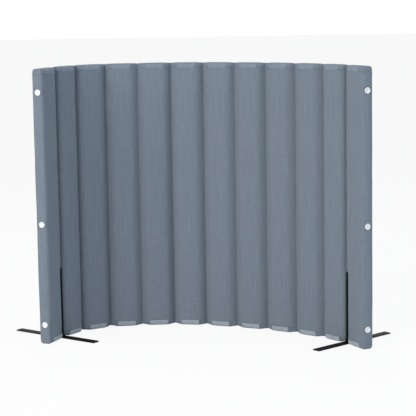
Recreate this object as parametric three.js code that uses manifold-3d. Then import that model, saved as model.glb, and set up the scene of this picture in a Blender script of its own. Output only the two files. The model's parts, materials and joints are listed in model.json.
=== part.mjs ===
// Accordion folding partition: a free-standing soft wall of twelve upright padded panels, sewn to one
// another along vertical seams that fold both ways, with two steel feet pushed up into the second
// grooves from the ends. Each panel is a fabric cover round a sound-absorbing batt.
// Millimetres, +Z up, standing on Z = 0. The wall curves, and its hollow side faces -Y, the front.

import * as THREE from 'three';
import { mergeVertices } from 'three/addons/utils/BufferGeometryUtils.js';
import Module from 'manifold-3d';

// Wall
const panelPitch = 152.4; // seam to seam, 6 in
const wallHeight = 1219.2; // 48 in
const firstHeading = 69; // degrees that the first panel turns from +X
const restBends = [12, 24, 25, 3, 15, 11, 3, 8, 7, 11, 12]; // degrees at each seam, to the hollow side

// Panel section, seen from above
const fabricThickness = 1.4;
const seamRun = 10.2; // flat double fabric between the seam line and the padding, at a foot's seam
const shoulderRun = 28; // rounded edge of the padding, along the wall
const shoulderHalf = 25.4; // half the thickness where the shoulder meets the face
const faceCrown = 1.6; // extra half thickness in the middle of the face
const seamBeadRadius = 2.4; // sewn roll on the seam line, the hinge that the wall folds on
const seamGap = 0.3; // between the roll and the next panel's flange
const endRound = 11; // rounded edge beside the flat end face of the wall
const endHalf = 16; // half the width of that flat end face

// Panel rim, at the top and the bottom
const rimRadius = 22;
const rimShare = 0.55; // share of the thickness that is left at the very edge
const seamLift = 3; // how far the bottom edge is drawn up at a seam
const footSeamLift = 13; // the same at the two seams that a foot's bar goes under
const seamDrop = 2; // how far the top edge is drawn down at a seam
const endLift = 3; // how far both corners of an end face are drawn in

// Batt, its mouth in the cover and the two closing tabs on the front
const battClearance = 0.4;
const mouthWidth = 60;
const mouthHeight = 6;
const mouthDepth = 12; // from the top of the panel to the middle of the mouth
const tabThickness = 1.2;
const tabGap = 0.3;

// Buttons on the two end faces
const buttonRadius = 13.5;
const buttonThickness = 5;
const buttonDimpleRadius = 5;
const buttonDimpleDepth = 1.8;
const buttonGap = 0.3;
const buttonFromTop = 102;
const buttonMiddle = 537;
const buttonFromFloor = 88;
const buttonForward = 4; // from the middle of the end face towards the front

// Feet
const barLength = 470; // 18.5 in
const barSetback = 22; // from the seam to the middle of the bar, towards the back
const footTurn = 3; // degrees that each foot stands off square, its front end away from the middle panels
const barWidth = 38;
const barThickness = 5;
const barCorner = 3;
const barBevel = 0.8;
const uprightHalfWidth = 5; // the rods are oval, with the long way from front to back
const uprightHalfDepth = 8;
const uprightHeight = 312;
const uprightTip = 3;
const gussetReach = 34;
const gussetHeight = 30;
const gussetThickness = 5;
const weldGap = 0.3;
const footGap = 0.3; // between the seam's roll and each upright

const finishes = {
  cover: { color: 0x66727f, roughness: 0.92, metalness: 0 },
  batt: { color: 0xd9d6cc, roughness: 1, metalness: 0 },
  tab: { color: 0x868f99, roughness: 0.88, metalness: 0 },
  button: { color: 0xf4f4f2, roughness: 0.35, metalness: 0 },
  steel: { color: 0x17181a, roughness: 0.45, metalness: 0.4 },
};

const quarterTurn = Math.PI / 2;
const webHalf = fabricThickness; // two layers sewn together
const padStart = seamRun + shoulderRun; // from a seam line to the flat of the face
const noseStart = seamBeadRadius + seamGap; // where a panel begins beside its neighbour's roll
// At a plain seam the padding rises at 45 degrees from the seam line, and this round, which touches that
// slope, carries it over to the face. Two panels then fold to a right angle before they meet.
const shoulderRadius = (padStart - shoulderHalf) / (Math.SQRT2 - 1);
const tabHalf = panelPitch / 2 - padStart;

const wasm = await Module();
wasm.setup();

// A closed mesh as a solid that can be joined and cut.
function toSolid(geometry) {
  const bare = geometry.clone();
  bare.deleteAttribute('normal');
  bare.deleteAttribute('uv');
  const merged = mergeVertices(bare, 1e-4);
  return new wasm.Manifold(new wasm.Mesh({
    numProp: 3,
    vertProperties: new Float32Array(merged.attributes.position.array),
    triVerts: new Uint32Array(merged.index.array),
  }));
}

function toGeometry(solid) {
  const mesh = solid.getMesh();
  const geometry = new THREE.BufferGeometry();
  geometry.setAttribute('position', new THREE.BufferAttribute(mesh.vertProperties, 3));
  geometry.setIndex(new THREE.BufferAttribute(mesh.triVerts, 1));
  geometry.computeVertexNormals();
  return geometry;
}

// A closed body between two grids of points, grid[column][level], columns to the right and levels up.
// The first grid is the side that faces the viewer in front, the second the one behind it.
function bodyBetween(front, back) {
  const columns = front.length;
  const levels = front[0].length;
  const positions = [...front.flat(), ...back.flat()].flatMap((point) => point.toArray());
  const faces = [];
  const quad = (a, b, c, d) => faces.push(a, b, c, a, c, d);
  const near = (column, level) => column * levels + level;
  const far = (column, level) => columns * levels + near(column, level);
  for (let i = 0; i < columns - 1; i += 1) {
    for (let j = 0; j < levels - 1; j += 1) {
      quad(near(i, j), near(i + 1, j), near(i + 1, j + 1), near(i, j + 1));
      quad(far(i, j), far(i, j + 1), far(i + 1, j + 1), far(i + 1, j));
    }
    quad(near(i, 0), far(i, 0), far(i + 1, 0), near(i + 1, 0));
    const top = levels - 1;
    quad(near(i, top), near(i + 1, top), far(i + 1, top), far(i, top));
  }
  for (let j = 0; j < levels - 1; j += 1) {
    quad(near(0, j), near(0, j + 1), far(0, j + 1), far(0, j));
    const last = columns - 1;
    quad(near(last, j), far(last, j), far(last, j + 1), near(last, j + 1));
  }
  const geometry = new THREE.BufferGeometry();
  geometry.setAttribute('position', new THREE.Float32BufferAttribute(positions, 3));
  geometry.setIndex(faces);
  geometry.computeVertexNormals();
  return geometry;
}

// What a panel's side can be: a sewn seam, a seam that a foot is pushed up into, or a free end.
const sides = {
  seam: { start: seamRun, round: shoulderRun, lift: seamLift, drop: seamDrop },
  footSeam: { start: seamRun, round: shoulderRun, half: webHalf, lift: footSeamLift, drop: seamDrop },
  end: { start: 0, round: endRound, half: endHalf, lift: endLift, drop: endLift },
};

// Half the thickness of the padding at steps + 1 distances from a plain seam's line.
function slopedShoulder(inset, steps) {
  const nose = noseStart + inset;
  const radius = shoulderRadius - inset;
  const round = Array.from({ length: steps }, (_, i) => {
    const turn = (1 - i / (steps - 1)) * quarterTurn / 2;
    return {
      across: padStart - radius * Math.sin(turn),
      half: shoulderHalf - shoulderRadius + radius * Math.cos(turn),
    };
  });
  return [{ across: nose, half: nose - inset * Math.SQRT2 }, ...round];
}

// The same from the edge of a free end or of the flat web at a foot's seam.
function roundShoulder({ start, round, half }, inset, steps) {
  return Array.from({ length: steps + 1 }, (_, i) => {
    const turn = (i / steps) * quarterTurn;
    return {
      across: start + round - (round - inset) * Math.cos(turn),
      half: half + (shoulderHalf - inset - half) * Math.sin(turn),
    };
  });
}

// The columns of a panel's side, from the outside in: how far each is from the side's edge, half the
// thickness there, and how far the bottom is drawn up and the top drawn down.
function sideColumns(side, inset, steps) {
  const edge = side === sides.end ? { ...side, half: side.half - inset } : side;
  const profile = side === sides.seam ? slopedShoulder(inset, steps) : roundShoulder(edge, inset, steps);
  return profile.map(({ across, half }) => {
    const share = Math.max(across - side.start, 0) / side.round;
    const draw = 0.5 + 0.5 * Math.cos(Math.PI * share);
    return { across, half, lift: draw * side.lift, drop: draw * side.drop };
  });
}

// All the columns of a panel. The cover is the pad with no inset and has a flange to each seam line;
// its hollow and the batt are the same pad, drawn in.
function panelColumns({ leftSide, rightSide }, inset, steps) {
  const left = sideColumns(leftSide, inset, steps);
  const right = sideColumns(rightSide, inset, steps).reverse();
  if (inset === 0 && leftSide === sides.footSeam) {
    left.unshift({ ...left[0], across: noseStart });
  }
  if (inset === 0 && rightSide !== sides.end) {
    right.push({ ...right[right.length - 1], across: 0, half: webHalf });
  }
  const faceStart = left[left.length - 1].across;
  const faceEnd = panelPitch - right[0].across;
  const middle = (faceStart + faceEnd) / 2;
  const crownAt = (x) => 1 - ((x - middle) / (faceEnd - middle)) ** 2;
  const faceColumn = (x) => ({ x, half: shoulderHalf + faceCrown * crownAt(x), lift: 0, drop: 0 });
  const faceColumns = [];
  if (inset === 0) {
    if (leftSide === sides.end) faceColumns.push(faceColumn(panelPitch / 2 - tabHalf));
    faceColumns.push(faceColumn(panelPitch / 2));
    if (rightSide === sides.end) faceColumns.push(faceColumn(panelPitch / 2 + tabHalf));
  }
  return [
    ...left.map((column) => ({ ...column, x: column.across })),
    ...faceColumns,
    ...right.map((column) => ({ ...column, x: panelPitch - column.across })),
  ];
}

// The front (side -1) or back (side 1) of a pad as a grid of points, rounded over at its rims.
function padSurface(columns, inset, rimSteps, side) {
  const radius = rimRadius - inset;
  const turns = Array.from({ length: rimSteps + 1 }, (_, i) => (i / rimSteps) * quarterTurn);
  return columns.map(({ x, half, lift, drop }) => {
    const pointAt = (turn, heightAt) => {
      const share = rimShare + (1 - rimShare) * Math.sin(turn);
      const depth = webHalf + (half - webHalf) * share;
      return new THREE.Vector3(x, side * depth, heightAt(radius * (1 - Math.cos(turn))));
    };
    const lower = turns.map((turn) => pointAt(turn, (rise) => inset + lift + rise));
    const upper = turns.map((turn) => pointAt(turn, (rise) => wallHeight - inset - drop - rise));
    return [...lower, ...upper.reverse()];
  });
}

function padGeometry(panelSides, inset, sideSteps, rimSteps) {
  const columns = panelColumns(panelSides, inset, sideSteps);
  return bodyBetween(padSurface(columns, inset, rimSteps, -1), padSurface(columns, inset, rimSteps, 1));
}

const coverSideSteps = 4;
const coverRimSteps = 3;
const battSideSteps = 2;
const battRimSteps = 1;

function coverGeometry(panelSides) {
  let cover = toSolid(padGeometry(panelSides, 0, coverSideSteps, coverRimSteps));
  const { rightSide } = panelSides;
  if (rightSide !== sides.end) {
    const beadLength = wallHeight - rightSide.lift - rightSide.drop;
    const bead = new THREE.CylinderGeometry(seamBeadRadius, seamBeadRadius, beadLength, 10);
    bead.rotateX(quarterTurn);
    bead.translate(panelPitch, 0, rightSide.lift + beadLength / 2);
    cover = cover.add(toSolid(bead));
  }
  const hollow = toSolid(padGeometry(panelSides, fabricThickness, battSideSteps, battRimSteps));
  const mouth = new THREE.BoxGeometry(mouthWidth, shoulderHalf + faceCrown, mouthHeight);
  mouth.translate(panelPitch / 2, -(shoulderHalf + faceCrown) / 2 - webHalf, wallHeight - mouthDepth);
  return toGeometry(cover.subtract(hollow).subtract(toSolid(mouth)));
}

function battGeometry(panelSides) {
  return padGeometry(panelSides, fabricThickness + battClearance, battSideSteps, battRimSteps);
}

// A tab lies on the rounded rim of the front, between the middle columns of the face.
function tabGeometry(panelSides, isTop) {
  const columns = panelColumns(panelSides, 0, coverSideSteps);
  const surface = padSurface(columns, 0, coverRimSteps, -1);
  const firstColumn = columns.findIndex(({ x }) => x >= panelPitch / 2 - tabHalf - tabGap);
  const levels = surface[0].length;
  const firstLevel = isTop ? levels - 1 - coverRimSteps : 1;
  const raised = (column, level, distance) => {
    const along = surface[column + 1][level].clone().sub(surface[column - 1][level]);
    const up = surface[column][level + 1].clone().sub(surface[column][level - 1]);
    const outward = along.cross(up).normalize();
    return surface[column][level].clone().addScaledVector(outward, distance);
  };
  const grid = (distance) => [0, 1, 2].map((i) => Array.from(
    { length: coverRimSteps },
    (_, j) => raised(firstColumn + i, firstLevel + j, distance),
  ));
  return bodyBetween(grid(tabGap + tabThickness), grid(tabGap));
}

// A moulded button, its back at the origin and its face along +Z, with a dished middle.
function buttonGeometry() {
  const profile = [
    [0, 0],
    [buttonRadius * 0.8, 0],
    [buttonRadius, buttonThickness * 0.35],
    [buttonRadius * 0.97, buttonThickness * 0.7],
    [buttonRadius * 0.8, buttonThickness],
    [buttonDimpleRadius * 1.25, buttonThickness],
    [buttonDimpleRadius * 0.8, buttonThickness - buttonDimpleDepth],
    [0, buttonThickness - buttonDimpleDepth],
  ].map(([x, y]) => new THREE.Vector2(x, y));
  const button = new THREE.LatheGeometry(profile, 16);
  button.rotateX(quarterTurn);
  return button;
}

// The foot's flat bar, under the seam and a little further back than forward, with softened edges.
function barGeometry() {
  const halfWidth = barWidth / 2 - barBevel;
  const halfLength = barLength / 2 - barBevel;
  const outline = new THREE.Shape();
  const corner = (x, y, from) => outline.absarc(x, y, barCorner, from, from + quarterTurn);
  corner(halfWidth - barCorner, halfLength - barCorner, 0);
  corner(barCorner - halfWidth, halfLength - barCorner, quarterTurn);
  corner(barCorner - halfWidth, barCorner - halfLength, 2 * quarterTurn);
  corner(halfWidth - barCorner, barCorner - halfLength, 3 * quarterTurn);
  const bar = new THREE.ExtrudeGeometry(outline, {
    depth: barThickness - 2 * barBevel,
    bevelThickness: barBevel,
    bevelSize: barBevel,
    bevelSegments: 1,
    curveSegments: 3,
  });
  bar.translate(0, barSetback, barBevel);
  return bar;
}

// An upright oval rod with a rounded tip and a curved gusset at its foot, on the side away from the seam.
// side is -1 for the rod in front of the seam and 1 for the one behind it.
function uprightGeometry(side) {
  const base = barThickness + weldGap;
  const away = seamBeadRadius + footGap + uprightHalfDepth;
  const rod = new THREE.LatheGeometry([
    new THREE.Vector2(0, 0),
    new THREE.Vector2(uprightHalfWidth, 0),
    new THREE.Vector2(uprightHalfWidth, uprightHeight - uprightTip),
    new THREE.Vector2(uprightHalfWidth * 0.72, uprightHeight - uprightTip * 0.28),
    new THREE.Vector2(0, uprightHeight),
  ], 12);
  rod.rotateX(quarterTurn);
  rod.scale(1, uprightHalfDepth / uprightHalfWidth, 1);
  rod.translate(0, side * away, base);

  const outline = new THREE.Shape();
  outline.moveTo(0, 0);
  outline.lineTo(gussetReach, 0);
  outline.quadraticCurveTo(uprightHalfDepth, 0, uprightHalfDepth * 0.5, gussetHeight);
  outline.lineTo(0, gussetHeight);
  const gusset = new THREE.ExtrudeGeometry(outline, {
    depth: gussetThickness, bevelEnabled: false, curveSegments: 5,
  });
  gusset.rotateX(quarterTurn);
  gusset.rotateZ(side * quarterTurn);
  gusset.translate(side * -gussetThickness / 2, side * away, base);
  return toGeometry(toSolid(rod).add(toSolid(gusset)));
}

function addPiece(group, name, geometry, finish) {
  const mesh = new THREE.Mesh(geometry, new THREE.MeshStandardMaterial(finishes[finish]));
  mesh.name = name;
  group.add(mesh);
  return mesh;
}

// Three buttons up an end face; outward is -1 on the left end and 1 on the right end.
function addButtons(panel, label, outward) {
  const heights = [buttonFromFloor, buttonMiddle, wallHeight - buttonFromTop];
  heights.forEach((height, i) => {
    const button = addPiece(panel, `${label}_button_${i + 1}`, buttonGeometry(), 'button');
    const face = outward < 0 ? 0 : panelPitch;
    button.position.set(face + outward * buttonGap, -buttonForward, height);
    button.rotation.y = outward * quarterTurn;
  });
}

// A foot at a seam of the panel that carries it, nearly square to that panel.
function addFoot(panel, label, seamAt, turn) {
  const foot = new THREE.Group();
  foot.position.x = seamAt;
  foot.rotation.z = THREE.MathUtils.degToRad(turn);
  panel.add(foot);
  addPiece(foot, `${label}_foot_bar`, barGeometry(), 'steel');
  addPiece(foot, `${label}_foot_front_upright`, uprightGeometry(-1), 'steel');
  addPiece(foot, `${label}_foot_back_upright`, uprightGeometry(1), 'steel');
}

// Each panel hangs in the one to its left, turned at their seam.
const wall = new THREE.Group();
const panelCount = restBends.length + 1;
const plainSeams = Array(panelCount - 3).fill(sides.seam);
const edgeSides = [sides.end, sides.footSeam, ...plainSeams, sides.footSeam, sides.end];
let carrier = wall;
for (let k = 0; k < panelCount; k += 1) {
  const panel = new THREE.Group();
  panel.position.x = k === 0 ? 0 : panelPitch;
  panel.rotation.z = THREE.MathUtils.degToRad(k === 0 ? firstHeading : -restBends[k - 1]);
  carrier.add(panel);
  carrier = panel;

  const label = `panel_${String(k + 1).padStart(2, '0')}`;
  const panelSides = { leftSide: edgeSides[k], rightSide: edgeSides[k + 1] };
  addPiece(panel, `${label}_cover`, coverGeometry(panelSides), 'cover');
  addPiece(panel, `${label}_batt`, battGeometry(panelSides), 'batt');
  addPiece(panel, `${label}_top_tab`, tabGeometry(panelSides, true), 'tab');
  addPiece(panel, `${label}_bottom_tab`, tabGeometry(panelSides, false), 'tab');
  if (k === 0) addButtons(panel, 'left', -1);
  if (k === panelCount - 1) addButtons(panel, 'right', 1);
  if (k === 1) addFoot(panel, 'left', 0, -footTurn);
  if (k === panelCount - 2) addFoot(panel, 'right', panelPitch, footTurn);
}

// The origin is on the floor, under the middle of the whole wall.
wall.updateMatrixWorld(true);
const bounds = new THREE.Box3().setFromObject(wall, true);
const middle = bounds.getCenter(new THREE.Vector3());
wall.position.set(-middle.x, -middle.y, -bounds.min.z);

export default wall;
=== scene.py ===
import json
import math

import bpy
import numpy as np
from mathutils import Matrix, Vector


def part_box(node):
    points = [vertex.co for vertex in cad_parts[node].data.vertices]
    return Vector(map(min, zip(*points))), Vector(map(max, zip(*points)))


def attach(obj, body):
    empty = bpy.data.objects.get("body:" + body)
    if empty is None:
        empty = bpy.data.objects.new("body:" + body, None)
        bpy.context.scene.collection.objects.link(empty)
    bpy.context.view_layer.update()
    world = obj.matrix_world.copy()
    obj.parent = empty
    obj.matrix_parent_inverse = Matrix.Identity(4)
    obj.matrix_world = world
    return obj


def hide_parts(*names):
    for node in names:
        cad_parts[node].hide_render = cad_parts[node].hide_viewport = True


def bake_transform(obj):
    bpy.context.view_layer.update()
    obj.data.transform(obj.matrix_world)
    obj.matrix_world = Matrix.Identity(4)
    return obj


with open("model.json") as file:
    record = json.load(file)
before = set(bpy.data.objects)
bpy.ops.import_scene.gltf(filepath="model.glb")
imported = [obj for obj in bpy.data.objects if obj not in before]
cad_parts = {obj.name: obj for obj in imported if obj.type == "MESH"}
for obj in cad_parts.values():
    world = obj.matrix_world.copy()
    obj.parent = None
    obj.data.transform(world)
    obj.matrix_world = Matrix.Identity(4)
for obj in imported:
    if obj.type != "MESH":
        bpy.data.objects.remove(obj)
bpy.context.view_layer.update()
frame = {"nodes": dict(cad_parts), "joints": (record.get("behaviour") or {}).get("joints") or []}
mm = 0.001
scene = bpy.context.scene


# ---- where the panels and seams are
wall = {
    "panelCount": 12,
    "shoulder": 38.2,      # from a seam line to the flat of a face
    "shoulderHalf": 25.4,  # half the thickness there
    "webHalf": 1.4,
    "rimRadius": 22,
    "rimShare": 0.55,      # share of the thickness left at the top and bottom edge
}

seams = {j["name"]: np.array(j["pos_m"]) for j in frame["joints"] if j["type"] == "hinge"}
pitch = float(np.linalg.norm(seams["seam_03"] - seams["seam_02"])) / mm
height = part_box("panel_06_cover")[1].z / mm


def battHeading(label):
    # the long way of an end panel, from the points of its batt
    points = np.array([v.co[:2] for v in frame["nodes"][label + "_batt"].data.vertices])
    points -= points.mean(0)
    along = np.linalg.svd(points, full_matrices=False)[2][0]
    return along if along[0] > 0 else -along


def panelPlaces():
    # for each panel its left edge and the way it runs, in metres
    places = []
    for number in range(1, wall["panelCount"] + 1):
        label = f"panel_{number:02d}"
        left, right = seams.get(f"seam_{number - 1:02d}"), seams.get(f"seam_{number:02d}")
        if left is not None and right is not None:
            along = (right - left)[:2] / np.linalg.norm((right - left)[:2])
        else:
            along = battHeading(label)
        start = left[:2] if left is not None else right[:2] - along * pitch * mm
        kinds = ["end" if left is None else "seam", "end" if right is None else "seam"]
        if number in (1, wall["panelCount"] - 1):
            kinds[1] = "footSeam"
        if number in (2, wall["panelCount"]):
            kinds[0] = "footSeam"
        places.append({"label": label, "start": start, "along": along, "kinds": kinds,
                       "number": number})
    return places


def panelAxes(way):
    # unit vectors along a panel and towards its back
    along = np.array([*way, 0.0])
    return along, np.array([-along[1], along[0], 0.0])


def toWorld(points, place):
    # panel millimetres (x along, y to the back, z up) to metres in the shared frame
    points = np.asarray(points, float)
    along, back = panelAxes(place["along"])
    start = np.array([*place["start"], 0.0])
    return start + mm * (points[:, :1] * along + points[:, 1:2] * back
                         + points[:, 2:] * np.array([0, 0, 1.0]))


places = panelPlaces()
print("layout:", len(places), "panels, pitch", round(pitch, 1), "mm, height", round(height, 1), "mm")


# ---- materials
def srgb(colour):
    values = [int(colour[i:i + 2], 16) / 255 for i in (1, 3, 5)]
    return [v / 12.92 if v <= 0.04045 else ((v + 0.055) / 1.055) ** 2.4 for v in values] + [1.0]


def addNode(tree, kind, settings=(), values=(), links=()):
    # settings are the node's own; values go to its sockets, and links join them to other outputs
    node = tree.nodes.new(kind)
    for key, value in dict(settings).items():
        setattr(node, key, value)
    for key, value in dict(values).items():
        node.inputs[key].default_value = value
    for key, output in dict(links).items():
        tree.links.new(output, node.inputs[key])
    return node


def maths(tree, operation, links, values=()):
    return addNode(tree, "ShaderNodeMath", {"operation": operation}, values, links).outputs[0]


def newMaterial(name, values=()):
    material = bpy.data.materials.new(name)
    material.use_nodes = True
    shader = material.node_tree.nodes["Principled BSDF"]
    for key, value in dict(values).items():
        shader.inputs[key].default_value = value
    return material, material.node_tree, shader


def objectTexture(tree, values, kind="ShaderNodeTexNoise", settings=()):
    place = addNode(tree, "ShaderNodeTexCoord")
    return addNode(tree, kind, settings, values, {"Vector": place.outputs["Object"]}).outputs["Fac"]


def mixTones(tree, shader, dark, light, share):
    tones = addNode(tree, "ShaderNodeMix", {"data_type": "RGBA"}, {6: dark, 7: light}, {0: share})
    tree.links.new(tones.outputs[2], shader.inputs["Base Color"])


def addBump(tree, shader, strength, depth, level):
    bump = addNode(tree, "ShaderNodeBump", {}, {"Strength": strength, "Distance": depth * mm},
                   {"Height": level})
    tree.links.new(bump.outputs[0], shader.inputs["Normal"])


def varyGloss(tree, shader, least, most, share):
    gloss = addNode(tree, "ShaderNodeMapRange", {}, {"To Min": least, "To Max": most}, {"Value": share})
    tree.links.new(gloss.outputs[0], shader.inputs["Roughness"])


fabric = {
    "dark": "#65707e",
    "light": "#79848e",
    "tabDark": "#8a949f",
    "tabLight": "#a8b0b8",
    "topTabDark": "#6b7787",
    "topTabLight": "#84909d",
    "thread": 2.2,        # pitch of the weave, drawn about three times coarser so that it shows
    "weaveDepth": 0.25,
    "slubLength": 46,
    "slubWidth": 3.2,
    "tonesFrom": 0.6,     # a wider span mixes the two tones more softly
    "tonesTo": 1.65,
}


def wovenPolyester(name, dark, light):
    # Woven polyester, dyed in the yarn: matt, two near tones that mix thread by thread,
    # with thicker yarns here and there as faint streaks, and a little sheen at grazing angles.
    material, tree, shader = newMaterial(name, {"Roughness": 0.92, "Specular IOR Level": 0.2,
                                                "Sheen Weight": 0.12, "Sheen Roughness": 0.5})
    uv = addNode(tree, "ShaderNodeUVMap", {"uv_map": "UVMap"}).outputs[0]
    bandScale = 2 * math.pi / (fabric["thread"] * mm) / 20
    long, narrow = 1000 / fabric["slubLength"], 1000 / fabric["slubWidth"]

    def threads(direction):
        return addNode(tree, "ShaderNodeTexWave", {"wave_type": "BANDS", "bands_direction": direction},
                       {"Scale": bandScale, "Distortion": 0.6, "Detail": 1.0, "Detail Scale": 1.5},
                       {"Vector": uv}).outputs["Fac"]

    def thickYarns(scaleX, scaleY):
        stretched = addNode(tree, "ShaderNodeMapping", {}, {"Scale": (scaleX, scaleY, 1)}, {"Vector": uv})
        return addNode(tree, "ShaderNodeTexNoise", {"noise_dimensions": "2D"},
                       {"Scale": 1.0, "Detail": 3.0, "Roughness": 0.6},
                       {"Vector": stretched.outputs[0]}).outputs["Fac"]

    weave = maths(tree, "MULTIPLY", {0: threads("X"), 1: threads("Y")})
    yarns = maths(tree, "ADD", {0: thickYarns(long, narrow), 1: thickYarns(narrow / 1.6, long / 3)})
    both = maths(tree, "MULTIPLY_ADD", {0: weave, 2: yarns}, {1: 0.5})
    share = addNode(tree, "ShaderNodeMapRange", {},
                    {"From Min": fabric["tonesFrom"], "From Max": fabric["tonesTo"]}, {"Value": both})
    mixTones(tree, shader, srgb(dark), srgb(light), share.outputs[0])
    addBump(tree, shader, 0.35, fabric["weaveDepth"], both)
    return material


def polyesterFibre():
    # Needled polyester batt: off-white, soft, with fine tangled fibres.
    material, tree, shader = newMaterial("needled polyester fibre", {"Roughness": 1.0})
    tangle = objectTexture(tree, {"Scale": 420.0, "Detail": 5.0, "Distortion": 1.2})
    mixTones(tree, shader, srgb("#c9c6bb"), srgb("#e6e3d9"), tangle)
    addBump(tree, shader, 0.4, 0.6, tangle)
    return material


def twistedThread(name, colour):
    # Twisted polyester thread: a slight shine, and a fine rope-like twist drawn as diagonal bands of painted
    # shade.
    material, tree, shader = newMaterial(name, {"Roughness": 0.6})
    twist = objectTexture(tree, {"Scale": 300.0, "Distortion": 0.4}, "ShaderNodeTexWave",
                          {"wave_type": "BANDS", "bands_direction": "DIAGONAL"})
    # painted shade: the grooves of the twist are the thread's colour darkened by a fifth
    twistShade = [c * 0.8 for c in srgb(colour)[:3]] + [1.0]
    mixTones(tree, shader, twistShade, srgb(colour), twist)
    return material


def mouldedPlastic():
    # Injection-moulded polypropylene: white, smooth, slightly uneven in gloss.
    material, tree, shader = newMaterial("moulded white polypropylene",
                                         {"Base Color": srgb("#dfe1e3"), "IOR": 1.49})
    varyGloss(tree, shader, 0.28, 0.42, objectTexture(tree, {"Scale": 160.0, "Detail": 2.0}))
    return material


def powderCoat():
    # Black polyester powder coat on mild steel: satin, with the fine waves of orange peel.
    material, tree, shader = newMaterial("black powder-coated steel",
                                         {"Base Color": srgb("#0e0f12"), "Specular IOR Level": 0.14})
    peel = objectTexture(tree, {"Scale": 330.0, "Detail": 2.0, "Roughness": 0.4})
    addBump(tree, shader, 0.25, 0.15, peel)
    varyGloss(tree, shader, 0.5, 0.66, objectTexture(tree, {"Scale": 24.0, "Detail": 4.0}))
    return material


coverCloth = wovenPolyester("woven polyester, blue-grey", fabric["dark"], fabric["light"])
tabCloth = wovenPolyester("polyester webbing, pale grey", fabric["tabDark"], fabric["tabLight"])
topTabCloth = wovenPolyester("polyester webbing, mid blue-grey", fabric["topTabDark"],
                             fabric["topTabLight"])
battFibre = polyesterFibre()
seamThread = twistedThread("twisted polyester thread, blue-grey", "#6f7d8d")
tabThread = twistedThread("twisted polyester thread, pale", "#b6c0ca")
buttonPlastic = mouldedPlastic()
coatedSteel = powderCoat()
print("materials: done")


# ---- helpers for meshes
def newObject(name, data):
    obj = bpy.data.objects.new(name, data)
    scene.collection.objects.link(obj)
    return obj


def meshObject(name, points, faces, material, uv=None):
    mesh = bpy.data.meshes.new(name)
    mesh.from_pydata([tuple(p) for p in points], [], [tuple(int(i) for i in f) for f in faces])
    if uv is not None:
        layer = mesh.uv_layers.new(name="UVMap")
        layer.data.foreach_set("uv", np.asarray(uv, np.float32).ravel())
    mesh.shade_smooth()
    if material:
        mesh.materials.append(material)
    return newObject(name, mesh)


def bakedMesh(obj):
    # the object's mesh with its modifiers applied; the object itself goes
    graph = bpy.context.evaluated_depsgraph_get()
    mesh = bpy.data.meshes.new_from_object(obj.evaluated_get(graph), depsgraph=graph)
    name = obj.name
    bpy.data.objects.remove(obj)
    mesh.name = name
    return newObject(name, mesh)


def vectorsOf(items, key):
    flat = np.zeros(len(items) * 3, np.float32)
    items.foreach_get(key, flat)
    return flat.reshape(-1, 3).astype(float)


def softNoise(rng, u, v, cellU, cellV):
    # smooth random hills about cellU by cellV millimetres, near -1 to 1
    u, v = (u - u.min()) / cellU, (v - v.min()) / cellV
    hills = rng.standard_normal((int(u.max()) + 3, int(v.max()) + 3)) * 0.6
    iu, iv = u.astype(int), v.astype(int)
    fu, fv = u - iu, v - iv
    fu, fv = fu * fu * (3 - 2 * fu), fv * fv * (3 - 2 * fv)
    low = hills[iu, iv] * (1 - fu) + hills[iu + 1, iv] * fu
    high = hills[iu, iv + 1] * (1 - fu) + hills[iu + 1, iv + 1] * fu
    return low * (1 - fv) + high * fv


# ---- padded covers and their batts
pad = {
    "seamEdge": 2.6,       # the padding starts this far from a seam line
    "footRun": 10.2,       # and this far at a seam that holds a foot, behind a flat web
    "battInset": 2.6,
    "endHalf": 16,
    "endRound": 11,
    "crown": 2.2,          # extra half thickness in the middle of a face
    "endCrown": 3.0,
    "seamCrown": 0.6,
    "topCrown": 0.6,
    "bottomHollow": 0.2,
    "lift": {"seam": 3, "footSeam": 13, "end": 3},  # how far the bottom corners are drawn up
    "drop": {"seam": 1, "footSeam": 1, "end": 2},   # and the top ones down
    "columnStep": 9.5,
    "rowStep": 10,
    "hemHeight": 22.4,
    "hemDepth": 1.7,
    "hemWidth": 1.7,
    "creaseHeight": 0.35,
    "puckerHeight": 0.5,
    "gatherHeight": 0.45,  # of the small folds next to a hem
    "frames": 20,          # of the cloth simulation
    "mostSwell": 1.4,      # it moves the cover outwards no more than this
    "mostDent": 0.25,
    "buttonPress": 21,     # width of the dent round each end button
    "buttonDent": 2.6,
    "buttonHold": 17,      # the simulation holds the cloth this near a button
    "steepest": 1.02,      # a side rises no steeper than this, so that folded neighbours don't meet
    "footPress": 0.13,     # share of the thickness that a foot's upright presses in
    "footPressTop": 338,   # height at which it has faded out
    "footPressFade": 28,
    "footPressFrom": 28,   # distance from the seam line at which it starts to fade
    "footPressRun": 45,
    "seed": 31,
}
clothTest = {
    "quality": 5,
    "mass": 0.3,
    "tension_stiffness": 15,
    "compression_stiffness": 15,
    "shear_stiffness": 5,
    "bending_stiffness": 0.5,
    "vertex_group_mass": "held",
    "use_pressure": True,
    "uniform_pressure_force": 4,
    "shrink_min": -0.012,
}


def sideColumns(kind, inset=0.0):
    # from the edge inwards: how far across, and half the thickness
    if kind == "seam" and inset == 0:
        across = np.array([pad["seamEdge"], 4.6, 7, 10, 13.5, 17.5, 22, 27, 32.5, wall["shoulder"]])
        return across, wall["shoulderHalf"] * np.sin(across / wall["shoulder"] * math.pi / 2)
    turns = np.radians([0, 15, 30, 42, 54, 66, 78, 90])
    start, roundness, half = pad["footRun"], wall["shoulder"] - pad["footRun"], wall["webHalf"]
    if kind == "end":
        turns = np.radians(np.arange(0, 91, 10))
        start, roundness, half = 0.0, pad["endRound"], pad["endHalf"] - inset
    across = start + roundness - (roundness - inset) * np.cos(turns)
    halves = half + (wall["shoulderHalf"] - inset - half) * np.sin(turns)
    if kind != "end" and inset == 0:
        across = np.concatenate([[pad["seamEdge"], 6.4], across])
        halves = np.concatenate([[half, half], halves])
    return across, halves


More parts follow.
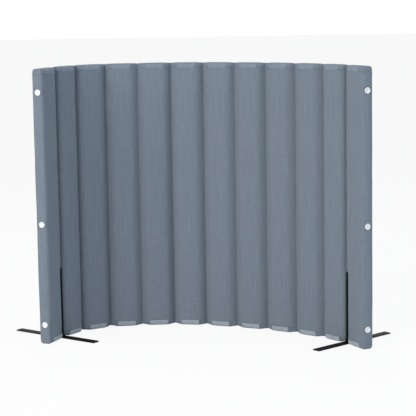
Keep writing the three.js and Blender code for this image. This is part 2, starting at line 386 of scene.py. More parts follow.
def padSection(kinds, inset=0.0, step=None):
    # the columns of a pad from left to right: x, half thickness, lift of the bottom, drop of the top
    left, leftHalf = sideColumns(kinds[0], inset)
    right, rightHalf = sideColumns(kinds[1], inset)
    faceStart, faceEnd = left[-1], pitch - right[-1]
    count = max(2, round((faceEnd - faceStart) / (step or pad["columnStep"])))
    between = np.linspace(faceStart, faceEnd, count + 1)[1:-1]
    x = np.concatenate([left, between, pitch - right[::-1]])
    half = np.concatenate([leftHalf, np.full(len(between), wall["shoulderHalf"] - inset),
                           rightHalf[::-1]])
    half = half + pad["crown"] * np.cos((x / pitch - 0.5) * math.pi) ** 2 * half / wall["shoulderHalf"]

    def drawn(across, kind):
        start = 0.0 if kind == "end" else pad["footRun"]
        run = pad["endRound"] if kind == "end" else wall["shoulder"] - pad["footRun"]
        return 0.5 + 0.5 * np.cos(math.pi * np.clip((across - start) / run, 0, 1))

    atLeft, atRight = drawn(x, kinds[0]), drawn(pitch - x, kinds[1])
    lift = atLeft * pad["lift"][kinds[0]] + atRight * pad["lift"][kinds[1]]
    drop = atLeft * pad["drop"][kinds[0]] + atRight * pad["drop"][kinds[1]]
    return x, half, lift, drop


def padRows(step):
    rim = np.array([0, 0.7, 2.6, 5.7, 10.3, 14.5, 17.6, 19.8, 21.2, 22.4, 23.6, 25.2, 28, 33, 41])
    count = round((height - 2 * rim[-1]) / step)
    between = np.linspace(rim[-1], height - rim[-1], count + 1)[1:-1]
    return np.concatenate([rim, between, height - rim[::-1]])


def rimShareAt(rise):
    # share of the thickness at a height above (or below) the nearer edge
    t = np.clip(1 - rise / wall["rimRadius"], 0, 1)
    return wall["rimShare"] + (1 - wall["rimShare"]) * np.sqrt(1 - t * t)


def pressedByFoot(points, kinds):
    # the padding gives way along the uprights of a foot
    points = np.array(points, float)
    for kind, across in ((kinds[0], points[:, 0]), (kinds[1], pitch - points[:, 0])):
        if kind == "footSeam":
            away = np.clip((across - pad["footPressFrom"]) / pad["footPressRun"], 0, 1)
            near = 0.5 + 0.5 * np.cos(math.pi * away)
            low = np.clip((pad["footPressTop"] - points[:, 2]) / pad["footPressFade"], 0, 1)
            points[:, 1] *= 1 - pad["footPress"] * near * low * low * (3 - 2 * low)
    return points


def padMesh(kinds, inset=0.0, rows=None, step=None):
    # a closed pad as points, four-sided faces and their places on the flat cloth
    x, half, lift, drop = padSection(kinds, inset, step)
    rows = padRows(pad["rowStep"]) if rows is None else rows
    columns, levels = len(x), len(rows)
    rise = np.minimum(rows, height - rows)
    depth = wall["webHalf"] + (half[None, :] - wall["webHalf"]) * rimShareAt(rise)[:, None]
    depth = np.minimum(depth, half[None, :])
    z = (rows[:, None] + lift * np.clip(1 - rows[:, None] / 200, 0, 1) ** 2
         - drop * np.clip(1 - (height - rows[:, None]) / 200, 0, 1) ** 2)
    if inset:
        z = inset + z * (height - 2 * inset) / height
    xs = np.broadcast_to(x, depth.shape)
    front = np.stack([xs, -depth, z], 2)
    back = np.stack([xs, depth, z], 2)[:, ::-1]

    def edge(column, shares, outward):
        # three columns between the front and the back, crowned outwards
        kind = kinds[0] if outward < 0 else kinds[1]
        swell = 0.0
        if not inset:
            swell = pad["endCrown"] if kind == "end" else pad["seamCrown"]
        calm = np.clip(rise / 30, 0, 1)
        points = [np.stack([x[column] + outward * swell * calm * (1 - s * s),
                            depth[:, column] * s, z[:, column]], 1) for s in shares]
        return np.stack(points, 1)

    rightEdge = edge(-1, (-0.5, 0, 0.5), 1)
    leftEdge = edge(0, (0.5, 0, -0.5), -1)
    ring = np.concatenate([front, rightEdge, back, leftEdge], 1)
    around = ring.shape[1]
    points = list(ring.reshape(-1, 3))
    middle = levels // 2
    loop = np.vstack([ring[middle], ring[middle][:1]])
    arc = np.concatenate([[0], np.cumsum(np.linalg.norm(np.diff(loop, axis=0), axis=1))])

    faces, uv = [], []
    for i in range(levels - 1):
        for p in range(around):
            q = (p + 1) % around
            faces.append((i * around + p, i * around + q, (i + 1) * around + q, (i + 1) * around + p))
            for u, row in ((p, i), (p + 1, i), (p + 1, i + 1), (p, i + 1)):
                uv.append((arc[u] * mm, rows[row] * mm))
    for level, flip in ((0, False), (levels - 1, True)):
        # caps, with three lines of points between the front and the back
        base = level * around
        crown = pad["topCrown"] if flip else pad["bottomHollow"]
        lines = [[base + j for j in range(columns)]]
        for k, s in enumerate((-0.5, 0, 0.5)):
            line = [base + 2 * columns + 3 + (2 - k)]
            for j in range(1, columns - 1):
                bulge = (1 - s * s) * min(1.0, depth[level, j] / 12) * crown
                points.append(np.array([x[j], s * depth[level, j], z[level, j] + bulge]))
                line.append(len(points) - 1)
            line.append(base + columns + k)
            lines.append(line)
        lines.append([base + columns + 3 + (columns - 1 - j) for j in range(columns)])
        for r in range(4):
            for j in range(columns - 1):
                face = (lines[r][j], lines[r + 1][j], lines[r + 1][j + 1], lines[r][j + 1])
                face = face[::-1] if flip else face
                faces.append(face)
                for index in face:
                    uv.append((points[index][0] * mm, points[index][1] * mm + (2.0 if flip else -2.0)))
    return np.array(points), faces, uv


def buttonSpots(place):
    # the middle of each button on an end panel, in the panel's millimetres
    side = "left" if place["number"] == 1 else "right"
    along, back = panelAxes(place["along"])
    spots = []
    for number in (1, 2, 3):
        low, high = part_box(f"{side}_button_{number}")
        centre = np.array((low + high) / 2) - np.array([*place["start"], 0.0])
        spots.append((float(centre @ along) / mm, float(centre @ back) / mm, centre[2] / mm))
    return spots


def heldPoints(points, place):
    # points that sewing holds still: webs, rims and the cloth under the buttons
    kinds = place["kinds"]
    x, z = points[:, 0], points[:, 2]
    held = (z < pad["hemHeight"] + 2) | (z > height - pad["hemHeight"] - 2)
    for across, kind in ((x, kinds[0]), (pitch - x, kinds[1])):
        if kind != "end":
            held |= across < (pad["footRun"] + 0.4 if kind == "footSeam" else pad["seamEdge"] + 0.4)
    if "end" in kinds:
        for spotX, spotY, spotZ in buttonSpots(place):
            near = np.hypot(points[:, 1] - spotY, z - spotZ) < pad["buttonHold"]
            held |= near & (abs(x - spotX) < 12)
    return held


def swollen(name, points, faces, held):
    # how far each point moves when the cloth, held at its seams, is put under a little pressure
    obj = meshObject(name, points * mm, faces, None)
    group = obj.vertex_groups.new(name="held")
    group.add([int(i) for i in np.flatnonzero(held)], 1.0, "REPLACE")
    cloth = obj.modifiers.new("cloth", "CLOTH")
    for key, value in clothTest.items():
        setattr(cloth.settings, key, value)
    cloth.settings.effector_weights.gravity = 0
    cloth.collision_settings.use_collision = False
    cloth.point_cache.frame_start = 1
    cloth.point_cache.frame_end = pad["frames"]
    for number in range(1, pad["frames"] + 1):
        scene.frame_set(number)
    graph = bpy.context.evaluated_depsgraph_get()
    moved = vectorsOf(obj.evaluated_get(graph).data.vertices, "co") / mm - points
    scene.frame_set(1)
    mesh = obj.data
    normals = vectorsOf(mesh.vertex_normals, "vector")
    bpy.data.objects.remove(obj)
    bpy.data.meshes.remove(mesh)
    # the batt inside stops the cloth, so it hardly moves inwards
    along = (moved * normals).sum(1)
    print("  moves of", name, "before the cap:", along.min().round(2), "to", along.max().round(2), "mm")
    out = np.where(along > 0, pad["mostSwell"] * np.tanh(along / pad["mostSwell"]),
                   pad["mostDent"] * np.tanh(along / pad["mostDent"]))
    return normals * out[:, None]


def finishPad(obj, place, rng):
    # hem grooves, creases, puckers along the seams and the dents of buttons and feet
    mesh = obj.data
    points = vectorsOf(mesh.vertices, "co") / mm
    normals = vectorsOf(mesh.vertex_normals, "vector")
    x, y, z = points.T
    leftKind, rightKind = place["kinds"]
    farAway = np.full_like(x, 99)
    fromLeft = x if leftKind != "end" else farAway
    fromRight = pitch - x if rightKind != "end" else farAway
    across = np.minimum(fromLeft, fromRight)
    rise = np.minimum(z, height - z)
    side = np.where(y > 0, 400.0, 0.0)  # so that the back creases differently from the front
    clear = np.clip((across - 9) / 24, 0, 1) * np.clip((rise - 26) / 60, 0, 1)
    crease = (softNoise(rng, x + side, z, 21, 420) + 0.8 * softNoise(rng, x + side, z, 46, 300)
              + 0.7 * softNoise(rng, x + side, z, 60, 55))
    move = pad["creaseHeight"] * crease * clear
    sewn = np.exp(-((across - 15) / 8) ** 2) * np.clip((rise - 10) / 20, 0, 1)
    move += pad["puckerHeight"] * softNoise(rng, side + across * 0.4, z, 14, 17) * sewn
    hem = np.exp(-((rise - pad["hemHeight"]) / pad["hemWidth"]) ** 2)
    move -= pad["hemDepth"] * hem * np.clip((across - 6) / 12, 0, 1)
    gather = np.exp(-((rise - 31) / 9) ** 2) * np.clip((across - 8) / 12, 0, 1)
    move += pad["gatherHeight"] * softNoise(rng, x + side, z, 9, 60) * gather
    if "end" in place["kinds"]:
        for spotX, spotY, spotZ in buttonSpots(place):
            away = np.hypot(y - spotY, z - spotZ)
            onFace = np.clip(1 - abs(x - spotX) / 14, 0, 1)
            press = np.exp(-(away / pad["buttonPress"]) ** 2) * onFace
            outside = -1 if leftKind == "end" else 1
            limit = spotX - outside * pad["buttonDent"]
            points[:, 0] += (limit - points[:, 0]) * press * (onFace > 0)
            move *= 1 - press
    points += normals * move[:, None]
    points = pressedByFoot(points, place["kinds"])
    for kind, across in ((leftKind, points[:, 0]), (rightKind, pitch - points[:, 0])):
        if kind == "seam":
            limit = pad["steepest"] * np.maximum(across, 0.1)
            points[:, 1] = np.clip(points[:, 1], -limit, limit)
    world = toWorld(points, place)
    mesh.vertices.foreach_set("co", world.astype(np.float32).ravel())
    mesh.update()


moulds = {}
for place in places:
    key = "-".join(place["kinds"])
    if key in moulds:
        continue
    points, faces, uv = padMesh(place["kinds"])
    held = heldPoints(points, place)
    moved = swollen("trial " + key, points, faces, held)
    moved[held] = 0
    points = points + moved
    moulds[key] = (points, faces, uv)
print("pads: shapes", ", ".join(moulds))

for place in places:
    points, faces, uv = moulds["-".join(place["kinds"])]
    rng = np.random.default_rng(pad["seed"] + place["number"])
    obj = meshObject(place["label"] + "_padded_cover", points * mm, faces, coverCloth, uv)
    fine = obj.modifiers.new("finer", "SUBSURF")
    fine.levels = fine.render_levels = 1
    obj = bakedMesh(obj)
    finishPad(obj, place, rng)
    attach(obj, place["label"])
    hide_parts(place["label"] + "_cover")

for place in places:
    rows = np.concatenate([[0, 3, 9, 22], np.linspace(60, height - 60, 20),
                           height - np.array([22, 9, 3, 0])])
    points, faces, uv = padMesh(place["kinds"], pad["battInset"], rows, 26)
    points = pressedByFoot(points, place["kinds"])
    obj = meshObject(place["label"] + "_fibre_batt", toWorld(points, place), faces, battFibre, uv)
    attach(obj, place["label"])
    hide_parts(place["label"] + "_batt")
print("pads: done")


# ---- node trees for the seam rolls and the stitches
def newTree(name, sockets):
    tree = bpy.data.node_groups.new(name, "GeometryNodeTree")
    tree.interface.new_socket("Geometry", in_out="INPUT", socket_type="NodeSocketGeometry")
    for label, kind in sockets.items():
        tree.interface.new_socket(label, in_out="INPUT", socket_type="NodeSocket" + kind)
    tree.interface.new_socket("Geometry", in_out="OUTPUT", socket_type="NodeSocketGeometry")
    return tree, addNode(tree, "NodeGroupInput").outputs


def endTree(tree, geometry, material):
    # makes instances real, gives them their material and closes the tree
    real = addNode(tree, "GeometryNodeRealizeInstances", {}, {}, {"Geometry": geometry})
    dressed = addNode(tree, "GeometryNodeSetMaterial", {}, {},
                      {"Geometry": real.outputs[0], "Material": material})
    addNode(tree, "NodeGroupOutput", {}, {}, {"Geometry": dressed.outputs[0]})
    return tree


def grown(obj, tree, values):
    # runs the tree on obj with these inputs and returns the plain mesh object
    modifier = obj.modifiers.new(tree.name, "NODES")
    modifier.node_group = tree
    for item in tree.interface.items_tree:
        if item.item_type == "SOCKET" and item.in_out == "INPUT" and item.name in values:
            modifier[item.identifier] = values[item.name]
    return bakedMesh(obj)


def seamRollTree():
    # an oval roll of doubled cloth along a seam, with a slight wander
    tree, given = newTree("seam roll", {
        "Width": "Float", "Thickness": "Float", "Bottom": "Float", "Top": "Float", "Heading": "Float",
        "Place": "Vector", "Wander": "Float", "Cloth": "Material"})
    length = maths(tree, "SUBTRACT", {0: given["Top"], 1: given["Bottom"]})
    roll = addNode(tree, "GeometryNodeMeshCylinder", {"fill_type": "NGON"},
                   {"Vertices": 24, "Side Segments": 90, "Radius": 0.5}, {"Depth": length})
    middle = maths(tree, "ADD", {0: given["Top"], 1: given["Bottom"]})
    half = maths(tree, "MULTIPLY", {0: middle}, {1: 0.5})
    size = addNode(tree, "ShaderNodeCombineXYZ", {}, {"Z": 1.0},
                   {"X": given["Width"], "Y": given["Thickness"]})
    turn = addNode(tree, "ShaderNodeCombineXYZ", {}, {}, {"Z": given["Heading"]})
    lifted = addNode(tree, "ShaderNodeCombineXYZ", {}, {}, {"Z": half})
    spot = addNode(tree, "ShaderNodeVectorMath", {"operation": "ADD"}, {},
                   {0: given["Place"], 1: lifted.outputs[0]})
    placed = addNode(tree, "GeometryNodeTransform", {}, {},
                     {"Geometry": roll.outputs["Mesh"], "Scale": size.outputs[0],
                      "Rotation": turn.outputs[0], "Translation": spot.outputs[0]})
    noise = addNode(tree, "ShaderNodeTexNoise", {}, {"Scale": 18.0, "Detail": 1.0})
    centred = addNode(tree, "ShaderNodeVectorMath", {"operation": "SUBTRACT"},
                      {1: (0.5, 0.5, 0.5)}, {0: noise.outputs["Color"]})
    wander = addNode(tree, "ShaderNodeVectorMath", {"operation": "SCALE"}, {},
                     {0: centred.outputs[0], "Scale": given["Wander"]})
    shaken = addNode(tree, "GeometryNodeSetPosition", {}, {},
                     {"Geometry": placed.outputs[0], "Offset": wander.outputs[0]})
    smooth = addNode(tree, "GeometryNodeSetShadeSmooth", {}, {}, {"Geometry": shaken.outputs[0]})
    return endTree(tree, smooth.outputs[0], given["Cloth"])


def stitchTree():
    # one row of short stitches along every line of the mesh, flat on the side named by "outward"
    tree, given = newTree("row of stitches", {
        "Stitch spacing": "Float", "Stitch size": "Vector", "Wander": "Float", "Seed": "Int",
        "Thread": "Material"})
    line = addNode(tree, "GeometryNodeMeshToCurve", {}, {}, {"Mesh": given["Geometry"]})
    spots = addNode(tree, "GeometryNodeCurveToPoints", {"mode": "LENGTH"}, {},
                    {"Curve": line.outputs[0], "Length": given["Stitch spacing"]})
    bead = addNode(tree, "GeometryNodeMeshUVSphere", {}, {"Segments": 6, "Rings": 5, "Radius": 0.5})
    stitch = addNode(tree, "GeometryNodeTransform", {}, {},
                     {"Geometry": bead.outputs["Mesh"], "Scale": given["Stitch size"]})
    smooth = addNode(tree, "GeometryNodeSetShadeSmooth", {}, {}, {"Geometry": stitch.outputs[0]})
    shake = addNode(tree, "FunctionNodeRandomValue", {"data_type": "FLOAT_VECTOR"},
                    {0: (-1, -1, -1), 1: (1, 1, 1)}, {"Seed": given["Seed"]})
    small = addNode(tree, "ShaderNodeVectorMath", {"operation": "SCALE"}, {},
                    {0: shake.outputs[0], "Scale": given["Wander"]})
    way = addNode(tree, "ShaderNodeVectorMath", {"operation": "ADD"}, {},
                  {0: spots.outputs["Tangent"], 1: small.outputs[0]})
    outward = addNode(tree, "GeometryNodeInputNamedAttribute", {"data_type": "FLOAT_VECTOR"},
                      {"Name": "outward"})
    along = addNode(tree, "FunctionNodeAlignRotationToVector", {"axis": "X"}, {},
                    {"Vector": way.outputs[0]})
    flat = addNode(tree, "FunctionNodeAlignRotationToVector", {"axis": "Z", "pivot_axis": "X"}, {},
                   {"Rotation": along.outputs[0], "Vector": outward.outputs["Attribute"]})
    row = addNode(tree, "GeometryNodeInstanceOnPoints", {}, {},
                  {"Points": spots.outputs["Points"], "Instance": smooth.outputs[0],
                   "Rotation": flat.outputs[0]})
    return endTree(tree, row.outputs[0], given["Thread"])


def stitchRow(name, lines, thread, look, seed):
    # lines are (points, outward) pairs in metres; one object with all of them
    points, edges, outwards = [], [], []
    for line, outward in lines:
        first = len(points)
        points += [tuple(p) for p in line]
        edges += [(first + i, first + i + 1) for i in range(len(line) - 1)]
        outwards += [tuple(o) for o in outward]
    mesh = bpy.data.meshes.new(name)
    mesh.from_pydata(points, edges, [])
    side = mesh.attributes.new("outward", "FLOAT_VECTOR", "POINT")
    side.data.foreach_set("vector", np.array(outwards, np.float32).ravel())
    obj = newObject(name, mesh)
    values = {"Stitch spacing": look["spacing"] * mm,
              "Stitch size": tuple(s * mm for s in look["size"]),
              "Wander": look["wander"], "Seed": seed, "Thread": thread}
    return grown(obj, stitches, values)


rollTree, stitches = seamRollTree(), stitchTree()


# ---- seam rolls and their stitches
seamRoll = {
    "width": 9.0,
    "thickness": 4.2,
    "wander": 0.8,
    "bend": 5.0,          # a distance from the seam line
    "endGap": 1.5,
    "stitchInset": 6,
    "stitch": {"spacing": 8, "size": (5.6, 1.3, 0.9), "wander": 0.05},
}

for number in range(1, wall["panelCount"]):
    name = f"seam_{number:02d}"
    left, right = places[number - 1], places[number]
    spot = seams[name]
    way = left["along"] + right["along"]
    along, back = panelAxes(way / np.linalg.norm(way))
    kind = left["kinds"][1]
    bottom = pad["lift"][kind] + seamRoll["endGap"]
    top = height - pad["drop"][kind] - seamRoll["endGap"]
    thickness, inset = seamRoll["thickness"], seamRoll["stitchInset"]
    seed = meshObject(name + "_roll", [(0, 0, 0)], [], None)
    roll = grown(seed, rollTree, {
        "Width": seamRoll["width"] * mm, "Thickness": thickness * mm, "Bottom": bottom * mm,
        "Top": top * mm, "Heading": math.atan2(along[1], along[0]),
        "Place": (float(spot[0]), float(spot[1]), 0.0), "Wander": seamRoll["wander"] * mm,
        "Cloth": coverCloth})
    lines = []
    for side in (-1, 1):
        heights = np.arange(bottom + inset, top - inset, 20)
        centre = spot + side * back * (thickness / 2 - 0.1) * mm
        line = [centre * [1, 1, 0] + np.array([0, 0, h * mm]) for h in heights]
        lines.append((line, [side * back] * len(line)))
    row = stitchRow(name + "_stitches", lines, seamThread, seamRoll["stitch"], number)
    for obj in (roll, row):
        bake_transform(obj)
print("seams: done")


# ---- tabs over the closed ends of the covers
tab = {
    "half": 42,
    "from": 4.8,          # heights on the rim, from the edge
    "to": 24.6,
    "gap": 0.5,
    "thickness": 1.3,
    "rib": 0.55,
    "ribWidth": 2.4,
    "stitchInset": 2,
    "stitch": {"spacing": 5.2, "size": (4.6, 1.4, 0.7), "wander": 0.06},
}


def rimPoint(x, rise, isTop, out):
    # a point on the front of the rim at x, and which way the cloth faces there
    half = wall["shoulderHalf"] + pad["crown"] * np.cos((x / pitch - 0.5) * math.pi) ** 2

    def surface(r):
        return wall["webHalf"] + (half - wall["webHalf"]) * rimShareAt(r)

    slope = (surface(rise + 0.05) - surface(np.maximum(rise - 0.05, 0.0))) / 0.1
    length = np.sqrt(1 + slope * slope)
    outwardY, outwardRise = -1 / length, -slope / length
    y = -surface(rise) + outwardY * out
    r = rise + outwardRise * out
    z = height - r if isTop else r
    sign = -1 if isTop else 1
    return np.stack([x, y, z], -1), np.stack([0 * x, outwardY, sign * outwardRise], -1)


def tabMesh(isTop):
    # a thin strip with a rib along its edges and two across it
    u = np.linspace(-1, 1, 41)
    v = np.linspace(0, 1, 27)
    uu, vv = np.meshgrid(u, v)
    x = pitch / 2 + uu * tab["half"]
    rise = tab["from"] + vv * (tab["to"] - tab["from"])
    reach = np.minimum(tab["half"] * (1 - abs(uu)), (tab["to"] - tab["from"]) * np.minimum(vv, 1 - vv))
    rib = np.exp(-((reach - tab["ribWidth"]) / 1.1) ** 2)
    for level in (0.36, 0.64):
        rib = np.maximum(rib, 0.6 * np.exp(-((vv - level) / 0.055) ** 2))
    edge = np.clip(reach / 0.9, 0, 1)
    outer = tab["gap"] + tab["thickness"] * (0.35 + 0.65 * np.sqrt(edge)) + tab["rib"] * rib * edge
    face, _ = rimPoint(x, rise, isTop, outer)
    under, _ = rimPoint(x, rise, isTop, np.full_like(x, tab["gap"] - 0.4))
    rowCount, columnCount = uu.shape
    points = np.concatenate([face.reshape(-1, 3), under.reshape(-1, 3)])
    cloth = np.stack([x, rise], -1).reshape(-1, 2) * mm
    cloth = np.concatenate([cloth, cloth])
    offset = rowCount * columnCount
    faces = []

    def at(i, j, low=False):
        return i * columnCount + j + (offset if low else 0)

    for i in range(rowCount - 1):
        for j in range(columnCount - 1):
            faces.append((at(i, j), at(i, j + 1), at(i + 1, j + 1), at(i + 1, j)))
            faces.append((at(i, j, True), at(i + 1, j, True),
                          at(i + 1, j + 1, True), at(i, j + 1, True)))
    for j in range(columnCount - 1):
        last = rowCount - 1
        faces.append((at(0, j, True), at(0, j + 1, True), at(0, j + 1), at(0, j)))
        faces.append((at(last, j), at(last, j + 1), at(last, j + 1, True), at(last, j, True)))
    for i in range(rowCount - 1):
        last = columnCount - 1
        faces.append((at(i, 0, True), at(i, 0), at(i + 1, 0), at(i + 1, 0, True)))
        faces.append((at(i, last), at(i, last, True), at(i + 1, last, True), at(i + 1, last)))
    if isTop:
        faces = [f[::-1] for f in faces]
    uv = [cloth[index] for face in faces for index in face]
    return points, faces, uv


def rimLine(place, xs, rise, isTop, out):
    points, outward = rimPoint(np.asarray(xs, float), np.full(len(xs), float(rise)), isTop, out)
    ends = toWorld(points + outward, place) - toWorld(points, place)
    return toWorld(points, place), ends / np.linalg.norm(ends, axis=1, keepdims=True)


for place in places:
    lines = []
    for isTop in (True, False):
        end = "top" if isTop else "bottom"
        points, faces, uv = tabMesh(isTop)
        obj = meshObject(f"{place['label']}_{end}_webbing_tab", toWorld(points, place), faces,
                         topTabCloth if isTop else tabCloth, uv)
        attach(obj, place["label"])
        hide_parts(f"{place['label']}_{end}_tab")
        spread = np.linspace(pitch / 2 - tab["half"] + 2.4, pitch / 2 + tab["half"] - 2.4, 20)
        out = tab["gap"] + tab["thickness"] + 0.1
        for rise in (tab["from"] + tab["stitchInset"], tab["to"] - tab["stitchInset"]):
            lines.append(rimLine(place, spread, rise, isTop, out))
    row = stitchRow(place["label"] + "_tab_stitches", lines, tabThread, tab["stitch"], place["number"])
    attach(row, place["label"])
print("tabs: done")


# ---- buttons on the end faces
button = {
    "radius": 13.5,
    "thickness": 5.0,
    "dish": 9.6,
    "dimple": 5.0,
    "dimpleDepth": 3.0,
    "steps": 56,
}


def lathed(profile, steps):
    # profile as (radius, height) from the axis round to the axis
    turns = np.arange(steps) * 2 * math.pi / steps
    points, rings = [], []
    for radius, level in profile:
        if radius < 1e-6:
            points.append((0, 0, level))
            rings.append([len(points) - 1] * steps)
        else:
            rings.append(list(range(len(points), len(points) + steps)))
            points += [(radius * math.cos(t), radius * math.sin(t), level) for t in turns]
    faces = []
    for low, high in zip(rings, rings[1:]):
        for k in range(steps):
            n = (k + 1) % steps
            face = [low[k], low[n], high[n], high[k]]
            faces.append(tuple(dict.fromkeys(face)))
    return np.array(points, float), faces


def buttonProfile():
    r, t, dimple = button["radius"], button["thickness"], button["dimple"]
    floorLevel = t - button["dimpleDepth"]
    rim = [(r - 2.2 + 2.2 * math.cos(a), t / 2 + (t / 2) * math.sin(a))
           for a in np.radians(np.linspace(-70, 90, 12))]
    dish = [(button["dish"] + 0.8, t - 0.15), (button["dish"] - 0.4, t - 0.75),
            (dimple + 1.4, t - 0.95), (dimple + 0.4, t - 1.1), (dimple - 0.5, floorLevel),
            (2.4, floorLevel - 0.1), (1.9, floorLevel + 0.5), (0, floorLevel + 0.7)]
    return [(0, 0), (r * 0.8, 0), *rim, *dish]


for side, place in (("left", places[0]), ("right", places[-1])):
    along = Vector((*place["along"], 0))
    outward = -along if side == "left" else along
    for number in (1, 2, 3):
        node = f"{side}_button_{number}"
        low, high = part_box(node)
        back = (low + high) / 2 - outward * button["thickness"] / 2 * mm
        points, faces = lathed(buttonProfile(), button["steps"])
        turn = outward.to_track_quat("Z", "Y").to_matrix()
        world = [turn @ (Vector(p) * mm) + back for p in points]
        obj = meshObject(node + "_moulded", world, faces, buttonPlastic)
        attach(obj, place["label"])
        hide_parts(node)
print("buttons: done")


# ---- steel feet
foot = {
    "rodHalfWidth": 5,
    "rodHalfDepth": 8,
    "rodAway": 10.7,      # from the seam line to the rod's axis
    "gussetReach": 34,
    "gussetHeight": 30,
    "gussetThickness": 5,
    "gussetEdge": 0.6,    # how far its edges are rounded
    "rodTip": 3,
    "weldRadius": 1.5,
}


def barDirection(side):
    # the way the bar runs to the front, from the points of its node
    points = np.array([v.co[:] for v in frame["nodes"][f"{side}_foot_bar"].data.vertices])
    flat = points[:, :2] - points[:, :2].mean(0)
    run = np.linalg.svd(flat, full_matrices=False)[2][0]
    run = run if run[1] < 0 else -run
    return Vector((run[0], run[1], 0))


def ringFaces(rings, size):
    # faces between rings of points that follow one another, and over both ends
    faces = []
    for low in range(0, (rings - 1) * size, size):
        for k in range(size):
            n = (k + 1) % size
            faces.append((low + k, low + n, low + size + n, low + size + k))
    faces.append(tuple(reversed(range(size))))
    faces.append(tuple(range((rings - 1) * size, rings * size)))
    return faces


def tubeAlong(path, radius, steps=10):
    # a round bead along a path of points, closed at both ends
    points = []
    path = [Vector(p) for p in path]
    for i, p in enumerate(path):
        way = (path[min(i + 1, len(path) - 1)] - path[max(i - 1, 0)]).normalized()
        turn = way.to_track_quat("Z", "Y").to_matrix()
        share = 0.35 if i in (0, len(path) - 1) else 1.0
        size = radius * share * (1 + 0.13 * math.sin(i * 2.1))
        for k in range(steps):
            a = k * 2 * math.pi / steps
            points.append(p + turn @ Vector((size * math.cos(a), size * math.sin(a), 0)))
    return [tuple(p) for p in points], ringFaces(len(path), steps)


def gussetParts():
    # a curved plate in the plane of x (outwards) and z, rounded a little at its edges
    reach, tall, rod = foot["gussetReach"], foot["gussetHeight"], foot["rodHalfDepth"]
    curve = []
    for t in np.linspace(0, 1, 14):
        x = (1 - t) ** 2 * reach + 2 * t * (1 - t) * rod + t * t * rod * 0.5
        curve.append((x, t * t * tall))
    outline = [(0.0, 0.0), *curve, (0.0, tall)]
    edge = foot["gussetEdge"]
    drawnIn = [(max(0.2, x - edge), max(0.0, z - 0.35)) for x, z in curve]
    inner = [(0.0, 0.5), *drawnIn, (0.0, tall - 0.5)]
    side = foot["gussetThickness"] / 2
    layers = [(inner, -side), (outline, edge - side), (outline, side - edge), (inner, side)]
    points = [(x, y, z) for ring, y in layers for x, z in ring]
    return points, [f[::-1] for f in ringFaces(len(layers), len(outline))]


def rodParts(tall):
    r, dome = foot["rodHalfWidth"], foot["rodTip"]
    tip = [(r * math.cos(a), tall - dome + dome * math.sin(a)) for a in np.radians([0, 22, 45, 66, 82])]
    profile = [(0, 0), (r, 0), (r, 40), (r, tall * 0.5), *tip, (0, tall)]
    points, faces = lathed(profile, 28)
    # oval: the long way runs from front to back
    return [(p[0] * foot["rodHalfDepth"] / r, p[1], p[2]) for p in points], faces


for side in ("left", "right"):
    run = barDirection(side)
    bar = frame["nodes"][f"{side}_foot_bar"]
    bar.data.materials.clear()
    bar.data.materials.append(coatedSteel)
    seam = seams["seam_01" if side == "left" else f"seam_{wall['panelCount'] - 1:02d}"]
    for which, sign in (("front", 1), ("back", -1)):
        node = f"{side}_foot_{which}_upright"
        low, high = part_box(node)
        outward = run * sign
        across = outward.cross(Vector((0, 0, 1)))
        axis = Vector((seam[0], seam[1], 0)) + outward * foot["rodAway"] * mm
        tall = (high.z - low.z) / mm
        turn = Matrix((outward, across, Vector((0, 0, 1)))).transposed()
        parts = [rodParts(tall), gussetParts()]
        for sideways in (1, -1):
            weldLine = [(foot["gussetReach"] - 3 - 2.1 * i, sideways * foot["gussetThickness"] / 2, 0.4)
                        for i in range(13)]
            parts.append(tubeAlong(weldLine, foot["weldRadius"]))
        ringLine = [(foot["rodHalfDepth"] * math.cos(a), foot["rodHalfWidth"] * math.sin(a), 0.3)
                    for a in np.radians(np.linspace(40, 320, 22))]
        parts.append(tubeAlong(ringLine, foot["weldRadius"]))
        points, faces = [], []
        for partPoints, partFaces in parts:
            first = len(points)
            points += [turn @ (Vector(p) * mm) + axis + Vector((0, 0, low.z)) for p in partPoints]
            faces += [tuple(i + first for i in f) for f in partFaces]
        obj = meshObject(node + "_welded", points, faces, coatedSteel)
        obj.data.set_sharp_from_angle(angle=math.radians(40))
        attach(obj, f"{side}_foot")
        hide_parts(node)
print("feet: done")


# ---- floor, light and camera
studio = {
    "floorColour": "#e9ebec",
    "floorGlow": 0.9,     # share of plain white in the floor as the camera sees it
    "ambient": 0.42,
    "lens": 133.17,
    "cameraPlace": (0.11436, -6.77047, 1.57033),  # metres, and the angles in radians
    "cameraTilt": 0.14442,
    "cameraTurn": 0.01078,
    "cameraRoll": 0.0162,
}


def seenDirectly(tree):
    # the light path node, and 1 for what the camera sees directly or in a glossy surface
    path = addNode(tree, "ShaderNodeLightPath")
    return path, maths(tree, "MAXIMUM", {0: path.outputs["Is Camera Ray"], 1: path.outputs["Is Glossy Ray"]})


def studioFloor():
    # A pale painted floor. Seen directly it is nearly white, and the object's shadow stays on it faintly.
    material, tree, shader = newMaterial("pale matt floor", {"Base Color": srgb(studio["floorColour"]),
                                                             "Roughness": 0.9})
    share = maths(tree, "MULTIPLY", {0: seenDirectly(tree)[1]}, {1: studio["floorGlow"]})
    glow = addNode(tree, "ShaderNodeEmission", {}, {"Color": (1, 1, 1, 1), "Strength": 1.0})
    mix = addNode(tree, "ShaderNodeMixShader", {}, {},
                  {0: share, 1: shader.outputs[0], 2: glow.outputs[0]})
    tree.links.new(mix.outputs[0], tree.nodes["Material Output"].inputs["Surface"])
    return material


floor = meshObject("studio_floor", [(-40, -40, 0), (40, -40, 0), (40, 40, 0), (-40, 40, 0)],
                   [(0, 1, 2, 3)], studioFloor())

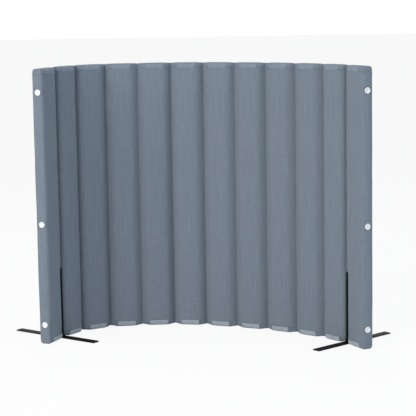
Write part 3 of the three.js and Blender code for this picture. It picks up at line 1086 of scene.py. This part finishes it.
world = bpy.data.worlds.new("studio")
scene.world = world
world.use_nodes = True
sky = world.node_tree
sky.nodes.clear()
path, direct = seenDirectly(sky)
white = maths(sky, "MAXIMUM", {0: direct, 1: path.outputs["Is Transmission Ray"]})
soft = addNode(sky, "ShaderNodeBackground", {},
               {"Color": (0.9, 0.95, 1.0, 1), "Strength": studio["ambient"]})
backdrop = addNode(sky, "ShaderNodeBackground", {}, {"Color": (1, 1, 1, 1), "Strength": 1.0})
either = addNode(sky, "ShaderNodeMixShader", {}, {},
                 {0: white, 1: soft.outputs[0], 2: backdrop.outputs[0]})
addNode(sky, "ShaderNodeOutputWorld", {}, {}, {"Surface": either.outputs[0]})

# broad lamps, measured in metres and watts: from the left front, the front, the right and above
lamps = {
    "key light": {"place": (-4.5, -4.6, 3.2), "target": (0.1, 0.1, 0.6), "size": 4.4,
                  "power": 280, "colour": (1.0, 0.97, 0.92)},
    "front light": {"place": (-2.4, -7.4, 3.8), "target": (0.1, 0.1, 0.6), "size": 4.0,
                    "power": 120, "colour": (1.0, 0.98, 0.96)},
    "fill light": {"place": (5.9, -3.0, 3.0), "target": (0.0, 0.1, 0.6), "size": 3.5,
                   "power": 130, "colour": (0.88, 0.94, 1.0)},
    "top light": {"place": (0.0, 1.6, 4.2), "target": (0.0, 0.1, 1.2), "size": 2.6,
                  "power": 45, "colour": (1.0, 1.0, 1.0)},
}

for name, look in lamps.items():
    lamp = bpy.data.lights.new(name, "AREA")
    lamp.shape = "DISK"
    lamp.size = look["size"]
    lamp.energy = look["power"]
    lamp.color = look["colour"]
    obj = newObject(name, lamp)
    obj.location = look["place"]
    obj.rotation_mode = "QUATERNION"
    obj.rotation_quaternion = (Vector(look["target"]) - Vector(look["place"])).to_track_quat("-Z", "Y")

camera = newObject("camera", bpy.data.cameras.new("camera"))
camera.data.lens = studio["lens"]
camera.data.sensor_width = 36
turn, tilt, roll = studio["cameraTurn"], studio["cameraTilt"], studio["cameraRoll"]
level = Vector((-math.sin(turn), math.cos(turn), 0))
right = Vector((math.cos(turn), math.sin(turn), 0))
forward = level * math.cos(tilt) - Vector((0, 0, 1)) * math.sin(tilt)
up = level * math.sin(tilt) + Vector((0, 0, 1)) * math.cos(tilt)
right, up = right * math.cos(roll) - up * math.sin(roll), right * math.sin(roll) + up * math.cos(roll)
axes = Matrix((right, up, -forward)).transposed().to_4x4()
camera.matrix_world = Matrix.Translation(studio["cameraPlace"]) @ axes
scene.camera = camera
scene.view_settings.view_transform = "Standard"
print("studio: done")
